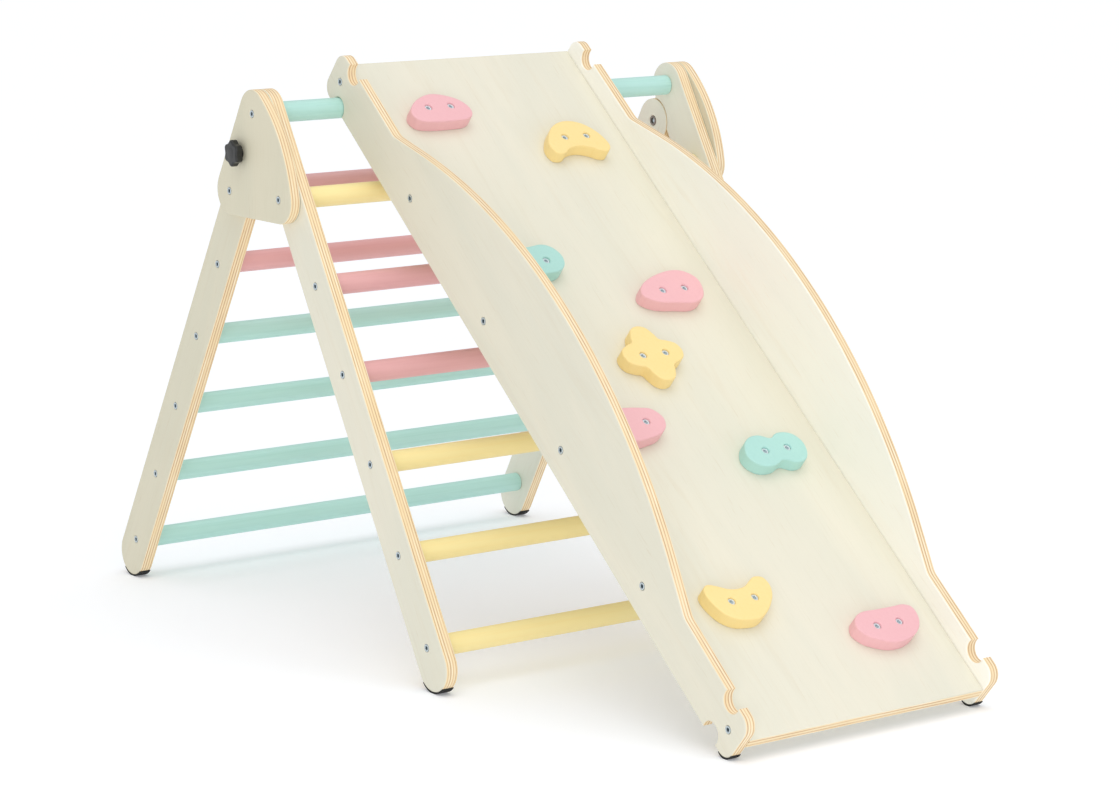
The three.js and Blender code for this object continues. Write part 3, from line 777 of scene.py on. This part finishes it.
# ---- ramp walls and deck ----
def wall_outline():
    """The two ends are the same, half a turn apart, and the upper edge rises in a long wave."""
    lip = math.degrees(math.asin((WALL_HALF_HEIGHT - NOTCH_DEPTH) / NOTCH_RADIUS))
    middle = RAMP_LENGTH / 2
    rise = math.tan(math.radians(WAVE_SLOPE))
    crest = (WALL_HALF_HEIGHT + WAVE_RADIUS * (1 - math.cos(math.radians(WAVE_SLOPE)))
             + (middle - WAVE_START - WAVE_RADIUS * math.sin(math.radians(WAVE_SLOPE))) * rise)
    turn = WAVE_EASE * math.tan(math.radians(WAVE_SLOPE / 2))
    ease_height = WALL_HALF_HEIGHT + WAVE_EASE
    near = WALL_CORNER
    far = RAMP_LENGTH - WALL_CORNER
    corner = WALL_HALF_HEIGHT - WALL_CORNER
    far_notch = RAMP_LENGTH - NOTCH_FROM_END
    outline = arc((far_notch, -NOTCH_DEPTH), NOTCH_RADIUS, 180 + lip, -lip)
    outline += arc((far, -corner), WALL_CORNER, -90, 0)
    outline += arc((far, corner), WALL_CORNER, 0, 90)
    outline += arc((far_notch, NOTCH_DEPTH), NOTCH_RADIUS, lip, -180 - lip)
    outline += arc((RAMP_LENGTH - WAVE_START + turn, ease_height), WAVE_EASE, -90, -90 - WAVE_SLOPE)
    outline += arc((middle, crest - WAVE_RADIUS), WAVE_RADIUS, 90 - WAVE_SLOPE, 90 + WAVE_SLOPE, 0.6)
    outline += arc((WAVE_START - turn, ease_height), WAVE_EASE, -90 + WAVE_SLOPE, -90)
    outline += arc((NOTCH_FROM_END, NOTCH_DEPTH), NOTCH_RADIUS, lip, -180 - lip)
    outline += arc((near, corner), WALL_CORNER, 90, 180)
    outline += arc((near, -corner), WALL_CORNER, 180, 270)
    outline += arc((NOTCH_FROM_END, -NOTCH_DEPTH), NOTCH_RADIUS, 180 + lip, -lip)
    return outline


wall_pitch = (RAMP_LENGTH - 2 * WALL_SCREW_FROM_END) / (WALL_SCREWS - 1)
wall_spots = [WALL_SCREW_FROM_END + i * wall_pitch for i in range(WALL_SCREWS)]
wall_loops = [wall_outline()] + [hole((s, 0), SCREW_SEAT) for s in wall_spots]
for name, side in SIDES:
    node = f"ramp_wall_{name}"
    place = ramp.copy()
    place.translation.y = centre(node).y
    wall = board(f"{node}_ply", wall_loops, WALL_THICKNESS, place, wall_plywood)
    # The right wall's palest tone is partly painted light: it brightens the wall's inner face.
    settle(wall, "ramp", "birch_plywood", node, tone=0.45 if name == "left" else 1.0)
    for i, s in enumerate(wall_spots, 1):
        point = along(ramp, s)
        point.y = place.translation.y + side * WALL_THICKNESS / 2 * MM
        add_screw(f"{node}_screw_{i}_zinc", "ramp", outward_frame(side, point), WALL_SCREW_LENGTH)

deck_frame = axes(slope, Vector((0, 1, 0)), slope.cross(Vector((0, 1, 0))), ramp_middle)
half_length = RAMP_LENGTH / 2
half_width = deck_width / 2
deck_loop = [(-half_length, -half_width), (half_length, -half_width),
             (half_length, half_width), (-half_length, half_width)]
settle(board("ramp_deck_ply", [deck_loop], DECK_THICKNESS, deck_frame, deck_plywood, DECK_ROUND),
       "ramp", "birch_plywood", "ramp_deck")


# ---- climbing holds: points are (across to the right, up the slope) from the hold's middle ----
def flower_outline(count=24):
    turns = [2 * math.pi * i / count for i in range(count)]
    reaches = [40 + 8 * math.cos(4 * turn) - math.cos(8 * turn) for turn in turns]
    return [(r * math.cos(turn) - 2, r * math.sin(turn) + 1) for turn, r in zip(turns, reaches)]


HOLD_OUTLINES = {
    "teardrop": [(-50, -9), (-40, 7), (-22, 19), (-3, 24), (19, 19), (36, 9), (45, -6), (43, -19),
                 (32, -26), (10, -28), (-30, -27), (-45, -22)],
    "hook": [(-51, -12), (-37, 13), (-23, 24), (-7, 29), (8, 28), (22, 22), (35, 9), (43, -7), (45, -23),
             (37, -32), (26, -31), (14, -24), (-5, -19), (-22, -22), (-35, -30), (-47, -28)],
    "pebble": [(-47, -4), (-36, 11), (-14, 22), (8, 26), (25, 27), (38, 20), (45, 4), (41, -11),
               (28, -21), (8, -23), (-24, -22), (-41, -16)],
    "stone": [(-55, -3), (-47, 11), (-31, 21), (-8, 29), (15, 32), (32, 28), (46, 14), (46, -3),
              (38, -19), (20, -27), (-9, -24), (-34, -20), (-49, -12)],
    "flower": flower_outline(),
    "wedge": [(-48, 0), (-42, 18), (-26, 27), (-5, 26), (18, 23), (36, 18), (46, 2), (42, -12),
              (29, -22), (8, -27), (-16, -29), (-38, -22)],
    "peanut": [(-51, -2), (-43, 15), (-30, 24), (-15, 25), (1, 18), (13, 24), (27, 24), (39, 18),
               (46, 4), (43, -13), (33, -24), (18, -26), (1, -19), (-16, -25), (-35, -24), (-47, -15)],
    "crescent": [(-50, 14), (-47, 25), (-39, 29), (-27, 25), (-13, 18), (0, 16), (13, 18), (23, 24),
                 (33, 29), (45, 26), (49, 14), (45, 0), (36, -12), (24, -23), (8, -31), (-9, -31),
                 (-26, -27), (-41, -14)],
    "bean": [(-50, 3), (-44, 16), (-30, 23), (-3, 23), (22, 23), (38, 23), (49, 17), (50, 2),
             (42, -13), (30, -22), (12, -28), (-9, -28), (-28, -21), (-43, -11)],
}
HOLDS = (  # (colour, outline, down the ramp, across from its centre line)
    ("pink", "teardrop", 106, -HOLD_COLUMN),
    ("yellow", "hook", 179, HOLD_COLUMN),
    ("turquoise", "pebble", 392, -HOLD_COLUMN),
    ("pink", "stone", 464, HOLD_COLUMN),
    ("yellow", "flower", 567, 0),
    ("pink", "wedge", 672, -HOLD_COLUMN),
    ("turquoise", "peanut", 744, HOLD_COLUMN),
    ("yellow", "crescent", 957, -HOLD_COLUMN),
    ("pink", "bean", 1030, HOLD_COLUMN),
)


def smooth_loop(corners, steps=5):
    """A closed centripetal curve through the corners."""
    points = [Vector(c) for c in corners]
    count = len(points)
    loop = []
    for i in range(count):
        p = [points[(i + k - 1) % count] for k in range(4)]
        knots = [0.0]
        for a, b in zip(p, p[1:]):
            knots.append(knots[-1] + math.sqrt((b - a).length))
        for step in range(steps):
            t = knots[1] + (knots[2] - knots[1]) * step / steps
            first = [between(p[k], p[k + 1], knots[k], knots[k + 1], t) for k in range(3)]
            second = [between(first[k], first[k + 1], knots[k], knots[k + 2], t) for k in range(2)]
            loop.append(tuple(between(second[0], second[1], knots[1], knots[2], t)))
    return loop if signed_area(loop) > 0 else loop[::-1]


def between(a, b, start, end, t):
    return a * ((end - t) / (end - start)) + b * ((t - start) / (end - start))


def signed_area(loop):
    return sum(a[0] * b[1] - b[0] * a[1] for a, b in zip(loop, loop[1:] + loop[:1])) / 2


HOLD_PAINT = {"turquoise": hold_turquoise, "pink": hold_pink, "yellow": hold_yellow}
uphill = -slope
deck_normal = Vector((0, 1, 0)).cross(uphill)
hold_middle = DECK_THICKNESS / 2 + GAP + HOLD_HEIGHT / 2
screw_across = (-HOLD_SCREW_PITCH / 2, HOLD_SCREW_PITCH / 2)
for colour, outline_name, down, across in HOLDS:
    node = f"hold_{colour}_{outline_name}"
    spot = along(ramp, down, hold_middle)
    spot.y = ramp_middle.y + across * MM
    place = axes(Vector((0, 1, 0)), uphill, deck_normal, spot)
    loops = [smooth_loop(HOLD_OUTLINES[outline_name])] + [hole((x, 0), SCREW_SEAT) for x in screw_across]
    hold = board(f"{node}_wood", loops, HOLD_HEIGHT, place, HOLD_PAINT[colour], HOLD_ROUND, HOLD_FOOT_ROUND)
    settle(hold, "ramp", f"{colour}_paint", node)
    for i, x in enumerate(screw_across, 1):
        seat = shifted(place, x, 0, HOLD_HEIGHT / 2 - HOLD_SCREW_DEPTH)
        length = HOLD_HEIGHT - HOLD_SCREW_DEPTH + HOLD_SCREW_GRIP
        # The hold screws' grey socket floor is painted shade, darker than their bright heads.
        add_screw(f"{node}_screw_{i}_zinc", "ramp", seat, length, finish=bright_zinc, socket=socket_grey_painted_shade)


# ---- rubber feet ----
def pad_loop(radius, down):
    """A strip round the end of a board, thinning to its ends and flat where it meets the floor."""
    outer = radius + GAP + PAD_THICKNESS - PAD_TAPER
    inner = radius + PAD_CLEARANCE
    reach = PAD_TAPER * math.sin(math.radians(PAD_HALF_ANGLE)) / outer
    spread = PAD_HALF_ANGLE + math.degrees(math.asin(reach))
    middle = PAD_TAPER * unit(down)
    loop = arc(middle, outer, down - spread, down - SOLE_HALF_ANGLE, 4)
    loop += arc(middle, outer, down + SOLE_HALF_ANGLE, down + spread, 4)
    return loop + arc((0, 0), inner, down + PAD_HALF_ANGLE, down - PAD_HALF_ANGLE, 4)


def floor_angle(matrix):
    """Which way is down in a board's own axes, in degrees."""
    down = matrix.to_3x3().inverted() @ Vector((0, 0, -1))
    return math.degrees(math.atan2(down.y, down.x))


def add_feet(prefix, body, host, x, y, radius, width):
    for name, _ in SIDES:
        node = f"{prefix}_{name}"
        place = shifted(host, x, y)
        place.translation.y = centre(node).y
        loop = pad_loop(radius, floor_angle(host))
        pad = board(f"{node}_rubber", [loop], width, place, rubber, PAD_ROUND)
        settle(pad, body, "rubber", node)


add_feet("front_foot", "front_ladder", front_ladder, RAIL_RUN, 0, RAIL_RADIUS, RAIL_THICKNESS)
add_feet("rear_foot", "rear_ladder", rear_ladder, RAIL_RUN, 0, RAIL_RADIUS, RAIL_THICKNESS)
add_feet("ramp_foot", "ramp", ramp, RAMP_LENGTH - WALL_CORNER, WALL_CORNER - WALL_HALF_HEIGHT, WALL_CORNER,
         WALL_THICKNESS)


# ---- floor, light and camera ----
def add_floor():
    """A white sheet that glows a little, so that shadows on it stay pale and neutral."""
    n = Nodes("white floor")
    place = n.own_place()
    n.colour(n.blend(n.noise(place, 6), srgb(239, 241, 244), srgb(241, 243, 246)))
    n.shader.inputs["Roughness"].default_value = 0.9
    n.shader.inputs["Specular IOR Level"].default_value = 0.1
    n.shader.inputs["Emission Color"].default_value = FLOOR_GLOW_COLOUR
    n.shader.inputs["Emission Strength"].default_value = FLOOR_GLOW
    corners = [(x * FLOOR_HALF, y * FLOOR_HALF, 0) for x, y in ((-1, -1), (1, -1), (1, 1), (-1, 1))]
    floor = finish_mesh("floor", corners, [(0, 1, 2, 3)], Matrix.Identity(4), n.material, smooth_faces=0)


def add_lamp(name, kind, strength, towards, place=(0, 0, 0)):
    """A lamp at place, in metres, whose light comes from the direction towards."""
    lamp = bpy.data.lights.new(name, kind)
    lamp.energy = strength
    holder = bpy.data.objects.new(name, lamp)
    bpy.context.collection.objects.link(holder)
    holder.location = place
    holder.rotation_euler = Vector(towards).to_track_quat("Z", "Y").to_euler()
    return lamp


def add_light():
    world = bpy.data.worlds.new("studio")
    bpy.context.scene.world = world
    world.use_nodes = True
    background = world.node_tree.nodes["Background"]
    background.inputs["Color"].default_value = (1.0, 1.0, 1.0, 1.0)
    background.inputs["Strength"].default_value = SKY_STRENGTH
    overhead = add_lamp("overhead softbox", "SUN", OVERHEAD_STRENGTH, OVERHEAD_FROM)
    overhead.angle = math.radians(OVERHEAD_SPREAD)
    front = add_lamp("front softbox", "AREA", FRONT_POWER, FRONT_FROM, FRONT_PLACE)
    front.shape = "SQUARE"
    front.size = FRONT_SIZE


def add_camera():
    data = bpy.data.cameras.new("camera")
    data.lens = CAMERA_LENS
    data.sensor_width = CAMERA_SENSOR
    camera = bpy.data.objects.new("camera", data)
    bpy.context.collection.objects.link(camera)
    turn = (Matrix.Rotation(math.radians(CAMERA_AZIMUTH), 4, "Z")
            @ Matrix.Rotation(math.radians(90 - CAMERA_ELEVATION), 4, "X")
            @ Matrix.Rotation(math.radians(CAMERA_ROLL), 4, "Z"))
    camera.matrix_world = Matrix.Translation(apex + CAMERA_FROM_APEX) @ turn
    bpy.context.scene.camera = camera


add_floor()
add_light()
add_camera()
bpy.context.scene.view_settings.view_transform = "Standard"
